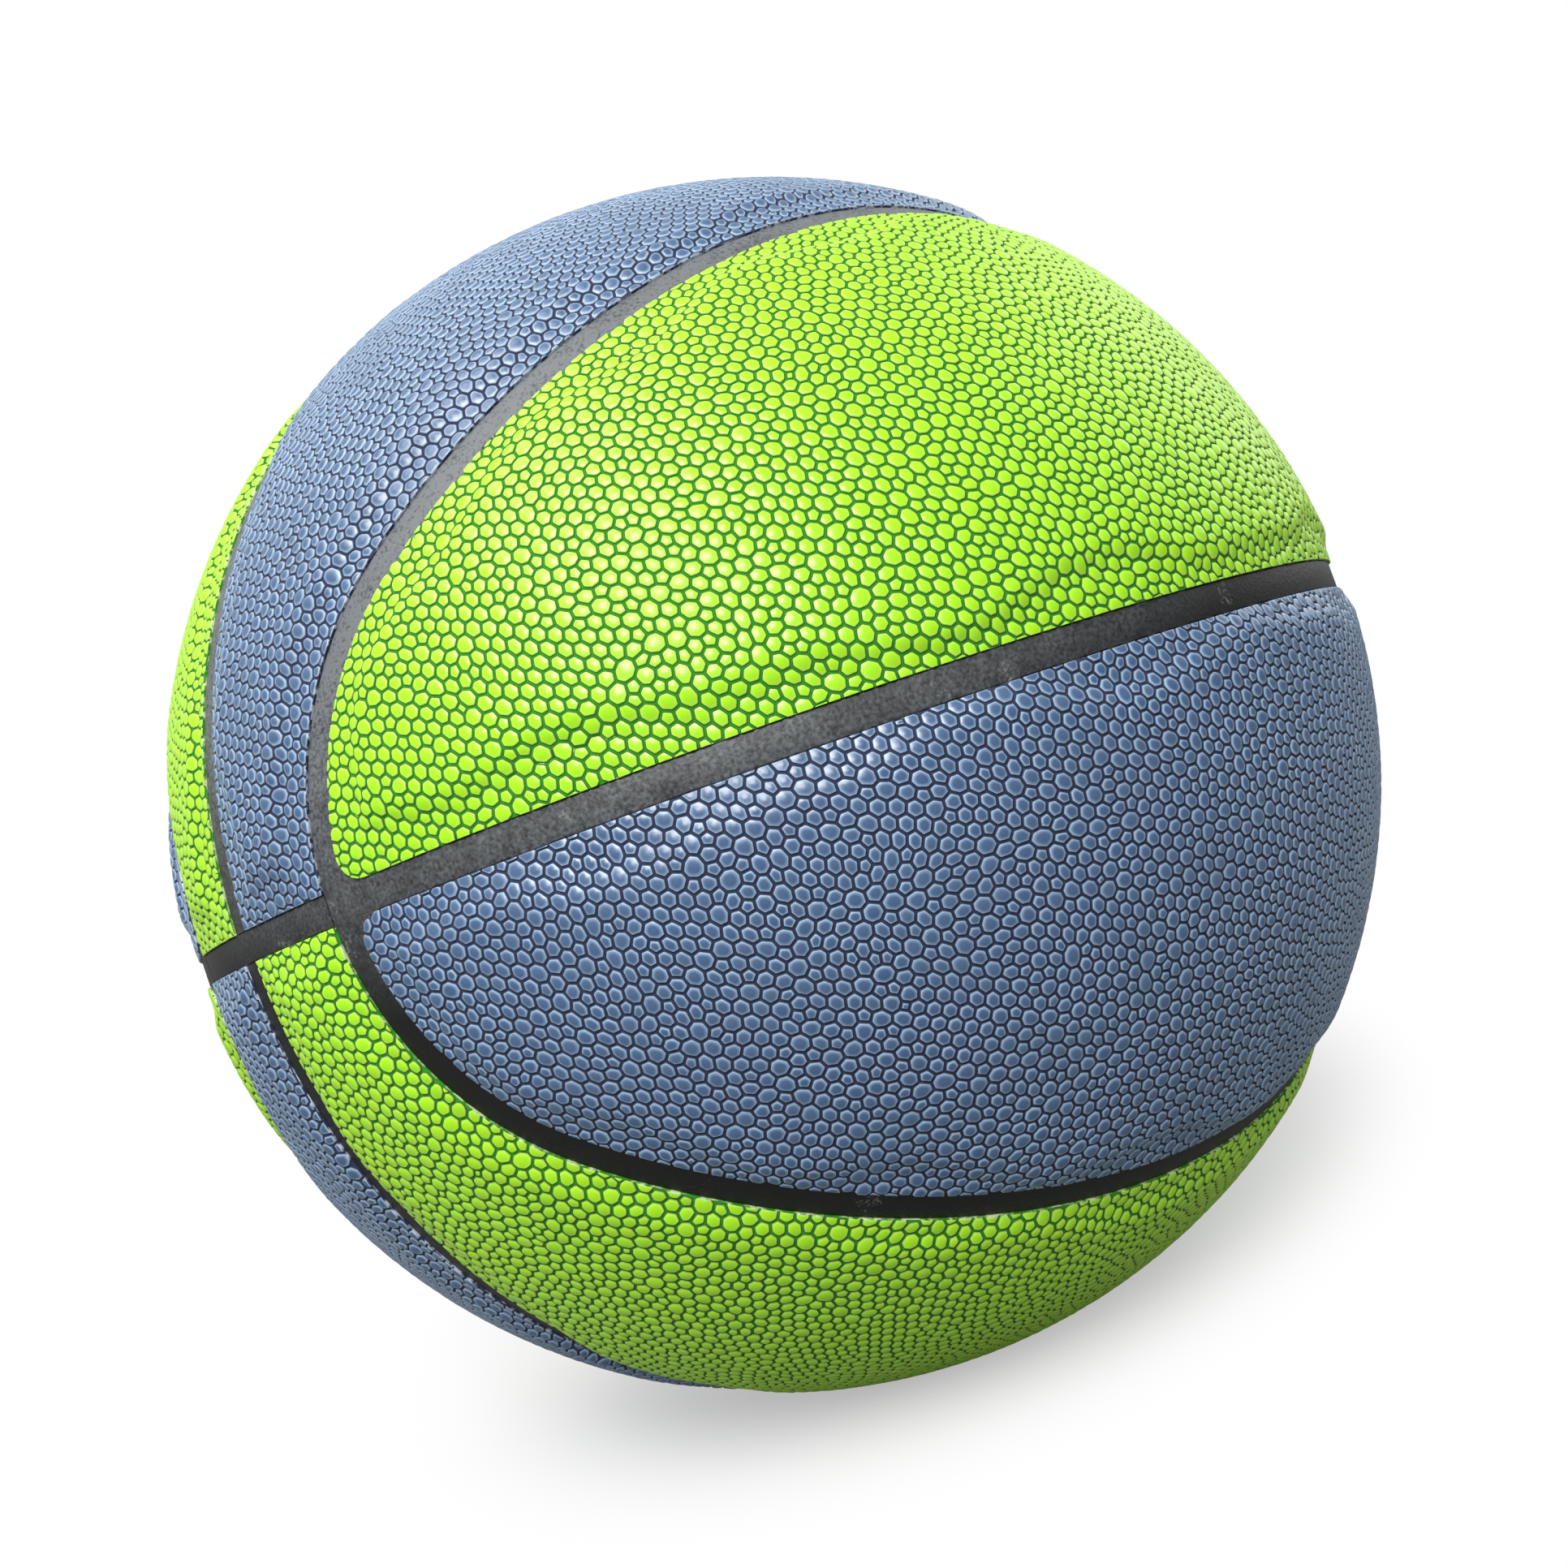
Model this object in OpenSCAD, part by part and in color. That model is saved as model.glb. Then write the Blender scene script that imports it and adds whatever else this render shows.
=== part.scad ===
// Basketball with eight cushioned cover panels, full adult size.
// The origin is the centre of the ball. The middle seam lies in the plane
// z = 0, the cross seam in the plane x = 0, and a closed oval loop goes
// round each end of the X axis. Rubber strips fill the seams. Under the
// cover come a foam backing for each panel, a rubber carcass, a layer of
// wound thread and an airtight bladder with its valve. Millimetres.

/* [Ball] */
// Diameter over the crowns of the panels
ball_d = 242; // [225:1:260]
// Film of cement between neighbouring layers
glue_t = 0.1; // [0.05:0.05:0.2]

/* [Seams] */
// Width of the channel between two panels
channel_w = 5.4; // [4:0.2:6.4]
// Angle between the long sides of a loop and the X axis
loop_tilt = 45; // [42:1:48]
// Distance along the middle seam from the cross seam to a loop
waist_w = 30.4; // [26:0.2:38]

/* [Cover panels] */
// Thickness of the composite leather
leather_t = 1.4; // [1:0.1:2]
// Width of the bevelled border of a panel
shoulder_w = 8; // [6:0.5:12]
// Corner radius of the end panels at the middle seam
corner_r = 5; // [4:0.5:7]

/* [Foam backings] */
// Thickness of the foam under the crown of a panel
foam_t = 1.2; // [1:0.1:1.8]
// Distance from the edge of the leather to the edge of its foam
foam_inset = 5.5; // [5:0.25:7]

/* [Strips] */
// Thickness of the rubber strips in the channels
strip_t = 0.9; // [0.6:0.1:1.2]

/* [Carcass, winding and bladder] */
// Wall of the rubber carcass
carcass_t = 1.1; // [0.8:0.1:2]
// Thickness of the wound thread
winding_t = 0.6; // [0.4:0.1:1]
// Wall of the bladder
bladder_t = 0.8; // [0.6:0.1:1.5]

/* [Valve] */
// Angle of the valve above the middle seam
valve_angle = 10; // [8:1:16]
// Outer diameter of the rubber stem
stem_d = 9; // [8:0.5:11]
// Length of the stem
stem_len = 15; // [12:0.5:18]
// Depth of the stem's end below the crown of the panel
stem_recess = 0.5; // [0.3:0.1:1]
// Diameter of the flange that is bonded inside the bladder
flange_d = 26; // [20:1:32]
// Thickness of the flange
flange_t = 1.5; // [1:0.1:2]
// Diameter of the plug's shank
plug_d = 5; // [4.5:0.1:5.6]
// Diameter of the plug's head
plug_head_d = 6.8; // [6.4:0.1:7.2]
// Thickness of the plug's head
plug_head_t = 1.2; // [0.8:0.1:1.6]
// Diameter of the barb that keeps the plug in the stem
barb_d = 6.2; // [6:0.1:7]
// Length of the barb
barb_len = 1.6; // [1:0.1:2]
// Gap around the plug in its stem
plug_gap = 0.05; // [0.05:0.05:0.15]
// Diameter of the needle hole
needle_d = 2.2; // [1.8:0.1:2.4]
// Depth of the needle hole
needle_depth = 9; // [7:0.5:12]

/* [Hidden] */
$fn = 180;

// Radii of the layers, from the outside in
crown_r = ball_d / 2;
base_r = crown_r - leather_t - foam_t - 2 * glue_t;
carcass_in_r = base_r - carcass_t;
winding_r = carcass_in_r - glue_t;
winding_in_r = winding_r - winding_t;
bladder_r = winding_in_r - glue_t;
bladder_in_r = bladder_r - bladder_t;
flange_r = bladder_in_r - glue_t;
flange_in_r = flange_r - flange_t;

// The strips and the edges of the panels lie on the carcass
bed_r = base_r + glue_t;
edge_r = bed_r + leather_t;
strip_r = bed_r + strip_t;

// Cutting solids start well under the bladder and end well outside the ball
reach_share = 1.3;
core_share = 0.7;
far_r = crown_r * reach_share;
core_r = crown_r * core_share;

// Angle that the bevelled border takes up on the ball
shoulder_a = shoulder_w / crown_r * 180 / PI;

// A loop has two long sides, arcs of great circles, and two round ends. It
// crosses the middle seam at an angle off the X axis that leaves the waist.
loop_reach = 90 - waist_w / crown_r * 180 / PI;

// The end arcs run into the long sides without a kink, which sets their
// centre and their radius, but for a hair's breadth by which they stand
// wide, so that the two lines cross.
end_wide = 0.05;
end_a = atan2(sin(loop_reach) - sin(loop_tilt), cos(loop_reach));
end_span = loop_reach - end_a + end_wide / crown_r * 180 / PI;

// Axes of the loop's arcs in the quarter with x, y and z above zero
end_axis = [cos(end_a), sin(end_a), 0];
side_axis = [sin(loop_tilt), 0, -cos(loop_tilt)];

function polar(r, a) = [r * sin(a), r * cos(a)];
function unit(v) = v / norm(v);
function flip_y(v, way) = [v[0], way * v[1], v[2]];

// Centre of the rounded corner of an end panel, in the same quarter
corner_lift = asin((channel_w / 2 + corner_r) / crown_r);
corner_turn = end_a + acos(cos(end_span - corner_lift) / cos(corner_lift));
corner_axis = [cos(corner_lift) * cos(corner_turn), cos(corner_lift) * sin(corner_turn), sin(corner_lift)];

// Everything on the axis side of a round seam, under the bevelled border of
// a panel. The wall along the seam is square to the ball.
// seam_a: angle of the seam off its axis
module within_seam(seam_a) {
    seam = polar(1, seam_a);
    across = [-seam[1], seam[0]];
    edge_a = asin(channel_w / 2 / edge_r);
    edge = polar(edge_r, seam_a - edge_a);
    brow = polar(crown_r, seam_a - edge_a - shoulder_a);
    border = unit(brow - edge);
    low = across * channel_w / 2 + seam * core_r;
    over = edge + border * (border[0] < 0 ? -edge[0] / border[0] : far_r);
    rotate_extrude()
        polygon(concat([[0, low[1]], low, edge, over], over[0] > 0 ? [[0, over[1]]] : []));
}

// What the bevelled border of a panel takes off beyond a round seam
module bevel(seam_a) {
    edge_a = asin(channel_w / 2 / edge_r);
    edge = polar(edge_r, seam_a + edge_a);
    brow = polar(crown_r, seam_a + edge_a + shoulder_a);
    border = unit(brow - edge);
    outward = [-border[1], border[0]] * far_r;
    low = edge - border * channel_w;
    high = edge + border * far_r;
    rotate_extrude() polygon([low, high, high + outward, low + outward]);
}

// Half space on the side of the origin that a direction points to
module half_space(v) {
    rotate([0, acos(v[2] / norm(v)), atan2(v[1], v[0])])
        translate([-far_r, -far_r, 0]) cube([2 * far_r, 2 * far_r, far_r]);
}

// Turns the Z axis to the axis of one of the loop's arcs
module to_end_axis(way) { rotate([0, 90, way * end_a]) children(); }
module to_side_axis() { rotate([0, 180 - loop_tilt, 0]) children(); }

// The planes where the loop's end arcs meet its long sides
function end_plane(way) = flip_y(cross(end_axis, side_axis), way);

// Everything inside the loop under the borders, for z above zero
module within_loop() {
    for (way = [-1, 1])
        intersection() {
            to_end_axis(way) within_seam(end_span);
            half_space(end_plane(way));
        }
    intersection() {
        to_side_axis() within_seam(90);
        half_space(-end_plane(-1));
        half_space(-end_plane(1));
    }
}

// Half space beyond a plane at a distance from the origin
module beyond(v, distance) { translate(unit(v) * distance) half_space(v); }

// Round cone inside one of the loop's ends, its wall shifted outwards
module end_cone(way, shift) {
    seam = polar(1, end_span);
    low = [seam[1], -seam[0]] * shift + seam * core_r;
    high = low + seam * far_r;
    to_end_axis(way) translate([0, 0, low[1]]) cylinder(h = high[1] - low[1], r1 = low[0], r2 = high[0]);
}

// What a rounded corner takes off an end panel
module corner_cut(way) {
    axis = flip_y(corner_axis, way);
    difference() {
        intersection() {
            half_space([-sin(corner_turn), way * cos(corner_turn), 0]);
            half_space(flip_y(cross(corner_axis, end_axis), way));
        }
        rotate([0, acos(axis[2]), atan2(axis[1], axis[0])])
            translate([0, 0, core_r]) cylinder(r = corner_r, h = far_r - core_r);
    }
}

// Outline of a panel, cut straight down, drawn in by a distance from its
// edge, for x and z above zero. An end panel lies inside the loop, a band
// between the loop and the cross seam.
module cap_outline(inset) {
    shift = channel_w / 2 + inset;
    difference() {
        intersection() {
            beyond([0, 0, 1], shift);
            beyond(side_axis, shift);
        }
        for (way = [-1, 1])
            difference() {
                half_space(end_plane(way));
                end_cone(way, -shift);
            }
    }
}
module band_outline(inset) {
    shift = channel_w / 2 + inset;
    difference() {
        intersection() {
            beyond([0, 0, 1], shift);
            beyond([1, 0, 0], shift);
        }
        intersection() {
            beyond(side_axis, -shift);
            half_space(-end_plane(-1));
            half_space(-end_plane(1));
        }
        for (way = [-1, 1]) end_cone(way, shift);
    }
}
module outline(is_cap, inset) {
    if (is_cap) cap_outline(inset);
    else band_outline(inset);
}

// Space of an end panel with its bevelled border
module cap_space() {
    difference() {
        intersection() {
            sphere(r = crown_r);
            within_seam(90);
            within_loop();
        }
        for (way = [-1, 1]) corner_cut(way);
    }
}

// Space of a band panel with its bevelled border
module band_space() {
    difference() {
        intersection() {
            sphere(r = crown_r);
            within_seam(90);
            rotate([0, 90, 0]) within_seam(90);
            outline(false, 0);
        }
        for (way = [-1, 1]) to_end_axis(way) bevel(end_span);
        intersection() {
            to_side_axis() bevel(90);
            half_space(-end_plane(-1));
            half_space(-end_plane(1));
        }
    }
}

// Moves a piece from the quarter with x and z above zero to its own quarter
module place(right, upper) {
    mirror([right ? 0 : 1, 0, 0]) mirror([0, 0, upper ? 0 : 1]) children();
}

// Along the valve, from the centre of the ball outwards
module along_valve() { rotate([0, -90 + valve_angle, 0]) children(); }
stem_top = crown_r - stem_recess;
module stem_hole() {
    along_valve() translate([0, 0, core_r]) cylinder(d = stem_d + 2 * glue_t, h = far_r - core_r);
}

// Leather of one panel, hollow underneath where its foam lies
module leather(is_cap) {
    difference() {
        if (is_cap) cap_space(); else band_space();
        sphere(r = bed_r);
        intersection() {
            sphere(r = crown_r - leather_t);
            outline(is_cap, foam_inset - glue_t);
        }
    }
}

// Foam of one panel, which lies under its crown
module foam(is_cap) {
    difference() {
        intersection() {
            sphere(r = crown_r - leather_t - glue_t);
            outline(is_cap, foam_inset);
        }
        sphere(r = bed_r);
    }
}

module green_leather() { color("#9ad81f") children(); }
module blue_leather() { color("#647a9c") children(); }
module foam_sheet() { color("#efe6c8") children(); }

module panel_right_cap_upper() { green_leather() place(true, true) leather(true); }
module panel_right_cap_lower() { blue_leather() place(true, false) leather(true); }
module panel_right_band_upper() { blue_leather() place(true, true) leather(false); }
module panel_right_band_lower() { green_leather() place(true, false) leather(false); }
module panel_left_band_upper() { green_leather() place(false, true) leather(false); }
module panel_left_band_lower() { blue_leather() place(false, false) leather(false); }
module panel_left_cap_upper() {
    blue_leather() difference() {
        place(false, true) leather(true);
        stem_hole();
    }
}
module panel_left_cap_lower() { green_leather() place(false, false) leather(true); }

module foam_right_cap_upper() { foam_sheet() place(true, true) foam(true); }
module foam_right_cap_lower() { foam_sheet() place(true, false) foam(true); }
module foam_right_band_upper() { foam_sheet() place(true, true) foam(false); }
module foam_right_band_lower() { foam_sheet() place(true, false) foam(false); }
module foam_left_band_upper() { foam_sheet() place(false, true) foam(false); }
module foam_left_band_lower() { foam_sheet() place(false, false) foam(false); }
module foam_left_cap_upper() {
    foam_sheet() difference() {
        place(false, true) foam(true);
        stem_hole();
    }
}
module foam_left_cap_lower() { foam_sheet() place(false, false) foam(true); }

// Flat slab through the centre, as wide as a strip
strip_w = channel_w - 2 * glue_t;
module slab() { cube([2 * far_r, 2 * far_r, strip_w], center = true); }

// Keeps the part of a solid that lies in the thickness of the strips
module strip_layer() {
    difference() {
        intersection() {
            sphere(r = strip_r);
            union() children();
        }
        sphere(r = bed_r);
    }
}

// Everything inside the right loop, its line shifted outwards
module loop_area(shift) {
    difference() {
        intersection() {
            beyond(side_axis, -shift);
            mirror([0, 0, 1]) beyond(side_axis, -shift);
        }
        for (way = [-1, 1])
            difference() {
                intersection() {
                    half_space(end_plane(way));
                    mirror([0, 0, 1]) half_space(end_plane(way));
                }
                end_cone(way, shift);
            }
    }
}

// Closed oval strip round the right end of the X axis
module loop_strip() {
    strip_layer()
        difference() {
            loop_area(strip_w / 2);
            loop_area(-strip_w / 2);
        }
}

// Strip along the middle seam inside the loop, with its ends butted
// against the loop's strip
module middle_cap_strip() {
    strip_layer()
        difference() {
            intersection() {
                slab();
                half_space([1, 0, 0]);
            }
            for (way = [-1, 1])
                difference() {
                    half_space(end_plane(way));
                    end_cone(way, -channel_w / 2);
                }
        }
}

// Strip along the middle seam from one loop's strip to the other's, at the back
module middle_band_strip() {
    strip_layer()
        difference() {
            intersection() {
                slab();
                half_space(end_plane(1));
                mirror([1, 0, 0]) half_space(end_plane(1));
            }
            end_cone(1, channel_w / 2);
            mirror([1, 0, 0]) end_cone(1, channel_w / 2);
        }
}

// Upper half of the strip along the cross seam
module cross_strip() {
    strip_layer()
        intersection() {
            rotate([0, 90, 0]) slab();
            beyond([0, 0, 1], channel_w / 2);
        }
}

module black_strip() { color("#1f2124") children(); }

module strip_loop_right() { black_strip() loop_strip(); }
module strip_loop_left() { black_strip() place(false, true) loop_strip(); }
module strip_middle_right() { black_strip() middle_cap_strip(); }
module strip_middle_left() { black_strip() place(false, true) middle_cap_strip(); }
module strip_middle_front() { black_strip() mirror([0, 1, 0]) middle_band_strip(); }
module strip_middle_back() { black_strip() middle_band_strip(); }
module strip_cross_upper() { black_strip() cross_strip(); }
module strip_cross_lower() { black_strip() place(true, false) cross_strip(); }

// Wall of a hollow ball with the valve's hole in it
module ball_wall(outer_r, inner_r) {
    difference() {
        sphere(r = outer_r);
        sphere(r = inner_r);
        stem_hole();
    }
}

module carcass() { color("#2b2e31") ball_wall(base_r, carcass_in_r); }

module winding() { color("#f1efe4") ball_wall(winding_r, winding_in_r); }

module bladder() { color("#1f2022") ball_wall(bladder_r, bladder_in_r); }

// Stem with the plug's seat in its top, and the flange under the bladder
module valve_stem() {
    stem_foot = stem_top - stem_len;
    seat_floor = stem_top - plug_head_t - plug_gap;
    color("#3c3f42") difference() {
        union() {
            along_valve() translate([0, 0, stem_foot]) cylinder(d = stem_d, h = stem_len);
            intersection() {
                sphere(r = flange_r);
                along_valve() translate([0, 0, core_r]) cylinder(d = flange_d, h = far_r - core_r);
            }
        }
        intersection() {
            sphere(r = flange_in_r);
            along_valve() difference() {
                translate([0, 0, -far_r]) cylinder(d = 2 * flange_d, h = 2 * far_r);
                translate([0, 0, stem_foot]) cylinder(d = stem_d, h = stem_len);
            }
        }
        along_valve() translate([0, 0, core_r]) cylinder(d = plug_d + 2 * plug_gap, h = far_r - core_r);
        along_valve() translate([0, 0, seat_floor]) cylinder(d = plug_head_d + 2 * plug_gap, h = far_r - core_r);
    }
}

// Plug with a head, a barb under the stem and a blind hole for the needle
module valve_plug() {
    shank_foot = stem_top - stem_len - plug_gap - barb_len;
    color("#17181a") along_valve() difference() {
        union() {
            translate([0, 0, shank_foot]) cylinder(d = plug_d, h = stem_top - shank_foot);
            translate([0, 0, stem_top - plug_head_t]) cylinder(d = plug_head_d, h = plug_head_t);
            translate([0, 0, shank_foot]) cylinder(d1 = plug_d, d2 = barb_d, h = barb_len);
        }
        translate([0, 0, stem_top - needle_depth]) cylinder(d = needle_d, h = far_r - core_r);
    }
}

panel_right_cap_upper();
panel_right_cap_lower();
panel_right_band_upper();
panel_right_band_lower();
panel_left_band_upper();
panel_left_band_lower();
panel_left_cap_upper();
panel_left_cap_lower();
foam_right_cap_upper();
foam_right_cap_lower();
foam_right_band_upper();
foam_right_band_lower();
foam_left_band_upper();
foam_left_band_lower();
foam_left_cap_upper();
foam_left_cap_lower();
strip_loop_right();
strip_loop_left();
strip_middle_right();
strip_middle_left();
strip_middle_front();
strip_middle_back();
strip_cross_upper();
strip_cross_lower();
carcass();
winding();
bladder();
valve_stem();
valve_plug();
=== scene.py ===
from collections import Counter
from math import atan2, cos, pi, radians, sin

import bmesh
import bpy
import numpy as np
from mathutils import Matrix
from mathutils.geometry import delaunay_2d_cdt


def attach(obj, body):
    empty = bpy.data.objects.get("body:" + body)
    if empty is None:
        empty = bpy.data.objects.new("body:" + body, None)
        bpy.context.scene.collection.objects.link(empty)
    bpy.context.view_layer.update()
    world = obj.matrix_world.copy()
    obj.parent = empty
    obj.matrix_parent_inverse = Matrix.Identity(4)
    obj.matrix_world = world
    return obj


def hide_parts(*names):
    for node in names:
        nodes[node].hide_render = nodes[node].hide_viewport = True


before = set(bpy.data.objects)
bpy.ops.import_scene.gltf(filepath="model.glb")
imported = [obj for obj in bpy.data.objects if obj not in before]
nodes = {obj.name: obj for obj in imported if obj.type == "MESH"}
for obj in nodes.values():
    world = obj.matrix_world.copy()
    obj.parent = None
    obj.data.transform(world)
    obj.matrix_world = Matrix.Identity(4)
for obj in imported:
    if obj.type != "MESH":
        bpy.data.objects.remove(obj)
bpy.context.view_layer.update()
MM = 0.001


# Camera. A phone held a third of a metre from the ball's middle, level with
# it and rolled, so that the middle seam climbs to the right. Its place was
# worked out from the seams' lines in the photograph.
CAMERA_REACH = 333.76           # from the ball's middle
CAMERA_AZIMUTH = radians(-40.896)
CAMERA_RISE = radians(-2.635)
CAMERA_ROLL = radians(-19.505)
FRAME_PX = 1932
FOCAL_PX = 1926
CENTRE_PX = (952.5, 967.2)      # where the lens axis meets the picture

toward = np.array([cos(CAMERA_RISE) * cos(CAMERA_AZIMUTH),
                   cos(CAMERA_RISE) * sin(CAMERA_AZIMUTH), sin(CAMERA_RISE)])
level_right = np.array([-sin(CAMERA_AZIMUTH), cos(CAMERA_AZIMUTH), 0])
right = level_right * cos(CAMERA_ROLL) + np.cross(toward, level_right) * sin(CAMERA_ROLL)
# the camera's own directions: toward the camera, up and right in the picture
ways = np.array([toward, np.cross(toward, right), right])


def stand(thing, across, up, back, place):
    """Puts a camera or a lamp at a place, so that it looks away from back."""
    thing.matrix_world = Matrix([[across[k], up[k], back[k], place[k]] for k in range(3)]
                                + [[0, 0, 0, 1]])
    bpy.context.collection.objects.link(thing)


lens = bpy.data.cameras.new("camera")
lens.sensor_width = 36
lens.lens = FOCAL_PX / FRAME_PX * lens.sensor_width
lens.shift_x = (FRAME_PX / 2 - CENTRE_PX[0]) / FRAME_PX
lens.shift_y = (CENTRE_PX[1] - FRAME_PX / 2) / FRAME_PX
lens.clip_start = 0.01
camera = bpy.data.objects.new("camera", lens)
stand(camera, ways[2], ways[1], ways[0], toward * CAMERA_REACH * MM)
bpy.context.scene.camera = camera
bpy.context.scene.view_settings.view_transform = "Standard"


# Studio. A seamless white floor and surround, a soft box like a window at the
# upper left, and two broad ones above and behind. The floor turns pure white
# away from the ball and keeps the ball's shadow near it.
BALL_R = 121.0                  # to the crowns of the panels
FLOOR_R = 3000
FLOOR_SIDES = 96
WHITE = "#ffffff"
FLOOR_PAINT = "#e6e6e6"
FLOOR_BOUNCE = "#8c8c8c"        # what the floor throws back at the ball
SHADE_MIDDLE = (-193, 158)      # the oval of floor that shows a shadow
SHADE_TURN = radians(139)
SHADE_REACH = (312, 162)
SHADE_RIM = (0.82, 1.06)        # where the oval fades out, as shares of its reach
SHADE_WASH = 0.42               # share of white that bleaches the shadow inside it
WORLD_WAY = (0.0, 0.85, -0.5)   # up and left in the picture
WORLD_LIGHT = (0.04, 0.74)      # the surround's strength opposite that way and along it
SOFT_BOXES = (                  # way from the ball in the camera's terms, and then
    ("window_box", (0.85, 0.50, -0.30), 1.2, 0.6, 13),      # its reach in metres, the
    ("back_box", (-0.45, 0.65, 0.60), 1.4, 0.9, 4),         # side in metres and watts
    ("top_box", (0.25, 0.75, -0.60), 1.4, 0.9, 7))


def rgb(code):
    """A hex colour as it looks on a screen, as Blender's linear RGBA."""
    parts = [int(code[k:k + 2], 16) / 255 for k in (1, 3, 5)]
    return [c / 12.92 if c <= 0.04045 else ((c + 0.055) / 1.055) ** 2.4 for c in parts] + [1]


def add(tree, kind, inputs=(), **settings):
    """Adds a node with its settings, its values and its links."""
    node = tree.nodes.new(kind)
    for name, value in settings.items():
        setattr(node, name, value)
    for key, value in dict(inputs).items():
        if isinstance(value, bpy.types.NodeSocket):
            tree.links.new(value, node.inputs[key])
        else:
            node.inputs[key].default_value = value
    return node


def new_material(name):
    """An empty material and its node tree."""
    material = bpy.data.materials.new(name)
    material.use_nodes = True
    material.node_tree.nodes.clear()
    return material, material.node_tree


def new_piece(name, mesh, *materials):
    """A mesh as an object at the origin, shown in the scene."""
    piece = bpy.data.objects.new(name, mesh)
    for material in materials:
        mesh.materials.append(material)
    bpy.context.collection.objects.link(piece)
    return piece


world = bpy.data.worlds.new("surround")
bpy.context.scene.world = world
world.use_nodes = True
tree = world.node_tree
tree.nodes.clear()
path = add(tree, "ShaderNodeLightPath")
seen = add(tree, "ShaderNodeMath", {0: path.outputs["Is Camera Ray"],
                                    1: path.outputs["Is Transmission Ray"]}, operation="MAXIMUM")
way = add(tree, "ShaderNodeTexCoord").outputs["Object"]
high = add(tree, "ShaderNodeVectorMath", {0: way, 1: tuple(np.array(WORLD_WAY) @ ways)},
           operation="DOT_PRODUCT")
light = add(tree, "ShaderNodeMapRange", {"Value": high.outputs["Value"], "From Min": -1.0,
                                         "From Max": 1.0, "To Min": WORLD_LIGHT[0],
                                         "To Max": WORLD_LIGHT[1]})
lit = add(tree, "ShaderNodeBackground", {"Color": rgb(WHITE), "Strength": light.outputs[0]})
backdrop = add(tree, "ShaderNodeBackground", {"Color": rgb(WHITE), "Strength": 1.0})
mix = add(tree, "ShaderNodeMixShader", {0: seen.outputs[0], 1: lit.outputs[0],
                                        2: backdrop.outputs[0]})
add(tree, "ShaderNodeOutputWorld", {"Surface": mix.outputs[0]})

floor_mesh = bpy.data.meshes.new("floor")
circle = bmesh.new()
bmesh.ops.create_circle(circle, cap_ends=True, segments=FLOOR_SIDES, radius=FLOOR_R * MM)
bmesh.ops.translate(circle, verts=circle.verts, vec=(0, 0, -BALL_R * MM))
circle.to_mesh(floor_mesh)
circle.free()
# Matt white paper: no gloss, so that only the soft shadow shows on it
paper, tree = new_material("white_paper_sweep")
where = add(tree, "ShaderNodeTexCoord")
oval = add(tree, "ShaderNodeMapping", {
    "Vector": where.outputs["Object"], "Rotation": (0, 0, SHADE_TURN),
    "Location": (SHADE_MIDDLE[0] * MM, SHADE_MIDDLE[1] * MM, -BALL_R * MM),
    "Scale": (SHADE_REACH[0] * MM, SHADE_REACH[1] * MM, 1.0)}, vector_type="TEXTURE")
far = add(tree, "ShaderNodeVectorMath", {0: oval.outputs[0]}, operation="LENGTH")
fade = add(tree, "ShaderNodeMapRange", {"Value": far.outputs["Value"], "From Min": SHADE_RIM[0],
                                        "From Max": SHADE_RIM[1], "To Min": SHADE_WASH},
           interpolation_type="SMOOTHSTEP")
path = add(tree, "ShaderNodeLightPath")
faded = add(tree, "ShaderNodeMath", {0: fade.outputs[0], 1: path.outputs["Is Camera Ray"]},
            operation="MULTIPLY")
tone = add(tree, "ShaderNodeMix", {0: path.outputs["Is Camera Ray"], 6: rgb(FLOOR_BOUNCE),
                                   7: rgb(FLOOR_PAINT)}, data_type="RGBA")
matt = add(tree, "ShaderNodeBsdfDiffuse", {"Color": tone.outputs[2]})
glow = add(tree, "ShaderNodeEmission", {"Color": rgb(WHITE), "Strength": 1.0})
mix = add(tree, "ShaderNodeMixShader", {0: faded.outputs[0], 1: matt.outputs[0],
                                        2: glow.outputs[0]})
add(tree, "ShaderNodeOutputMaterial", {"Surface": mix.outputs[0]})
floor = new_piece("floor", floor_mesh, paper)

for name, way, reach, side, power in SOFT_BOXES:
    lamp = bpy.data.lights.new(name, "AREA")
    lamp.size = side
    lamp.energy = power
    place = np.array(way) @ ways * reach
    back = place / np.linalg.norm(place)
    across = np.cross((0, 0, 1), back)
    across /= np.linalg.norm(across)
    stand(bpy.data.objects.new(name, lamp), across, np.cross(back, across), back, place)


# Bladder. A blown butyl rubber ball that holds the air, with the flange of
# the valve bonded to its inside. It stays as the CAD drew it.
BUTYL = "#1f2022"
BUTYL_BLOOM = "#35373a"


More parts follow.
